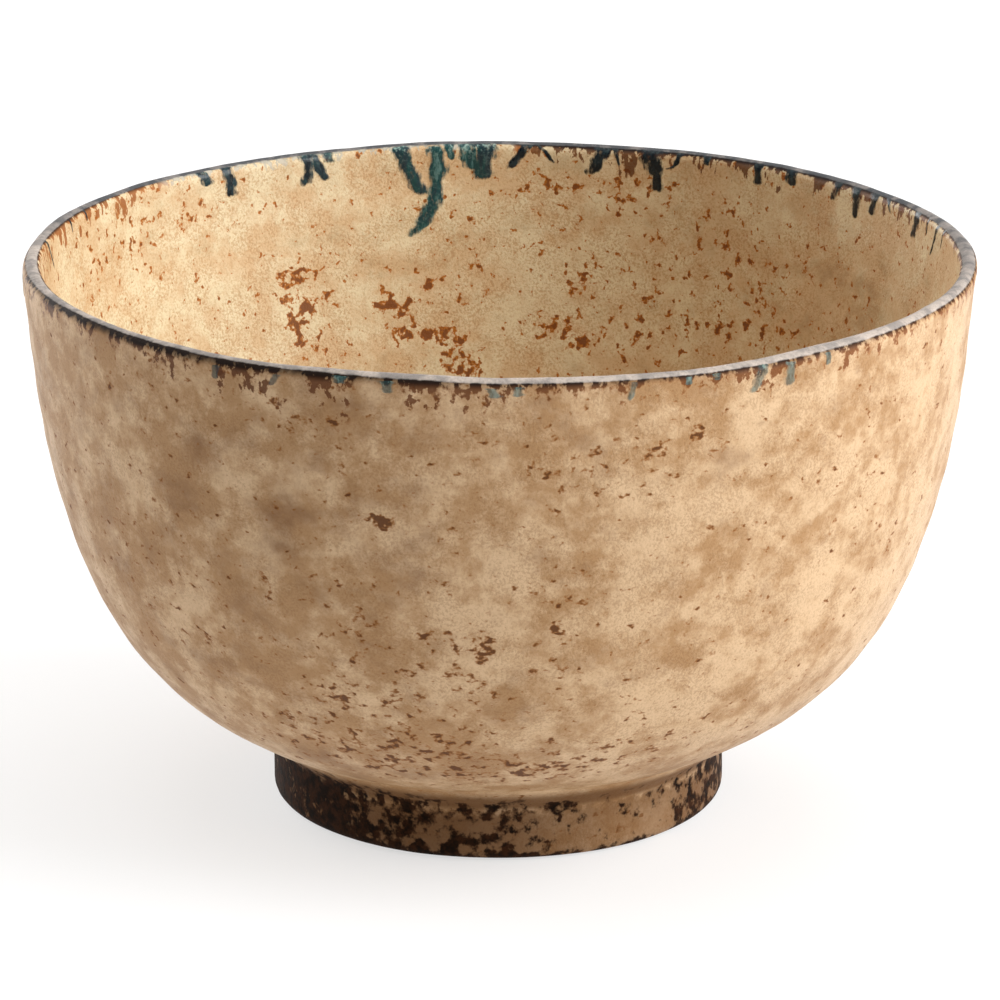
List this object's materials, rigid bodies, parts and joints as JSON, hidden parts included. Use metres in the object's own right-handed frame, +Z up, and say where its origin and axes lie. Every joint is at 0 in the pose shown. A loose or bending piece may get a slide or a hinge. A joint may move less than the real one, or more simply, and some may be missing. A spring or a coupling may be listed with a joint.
{
  "type": "matcha bowl",
  "caption": "Wheel-thrown stoneware tea bowl on a turned foot ring, glazed inside and out, with an iron-brown lip band and dark green glaze runs below it.",
  "frame": {"origin": "centre of the foot's tread, on the plane the bowl stands on", "axes": "+Z up along the bowl's axis; +Y away from the viewer in the main view, with the longest green run on the far inner wall beside it; +X to the right"},
  "size_m": [0.12, 0.12, 0.0712],
  "materials": {
    "bare_clay": "bare dark brown stoneware, matt",
    "foot_clay": "bare dark brown stoneware, turned and matt",
    "outer_glaze": "satin tan ash glaze, clouded and speckled",
    "inner_glaze": "satin warm cream glaze with orange-brown iron spots",
    "rim_iron": "satin grey-brown iron glaze",
    "foot_wash": "thin mottled brown glaze over dark clay",
    "green_glaze": "pooled dark green-blue glaze, glossy"
  },
  "bodies": {
    "root": {"clay_body": "bare_clay", "foot_ring": "foot_clay", "outer_glaze": "outer_glaze", "inner_glaze": "inner_glaze", "rim_band": "rim_iron", "foot_glaze": "foot_wash", "green_run_in_1": "green_glaze", "green_run_in_2": "green_glaze", "green_run_in_3": "green_glaze", "green_run_in_4": "green_glaze", "green_run_in_5": "green_glaze", "green_run_in_6": "green_glaze", "green_run_in_7": "green_glaze", "green_run_in_8": "green_glaze", "green_run_in_9": "green_glaze", "green_run_in_10": "green_glaze", "green_run_in_11": "green_glaze", "green_run_in_12": "green_glaze", "green_run_out_1": "green_glaze", "green_run_out_2": "green_glaze", "green_run_out_3": "green_glaze"}
  },
  "joints": []
}
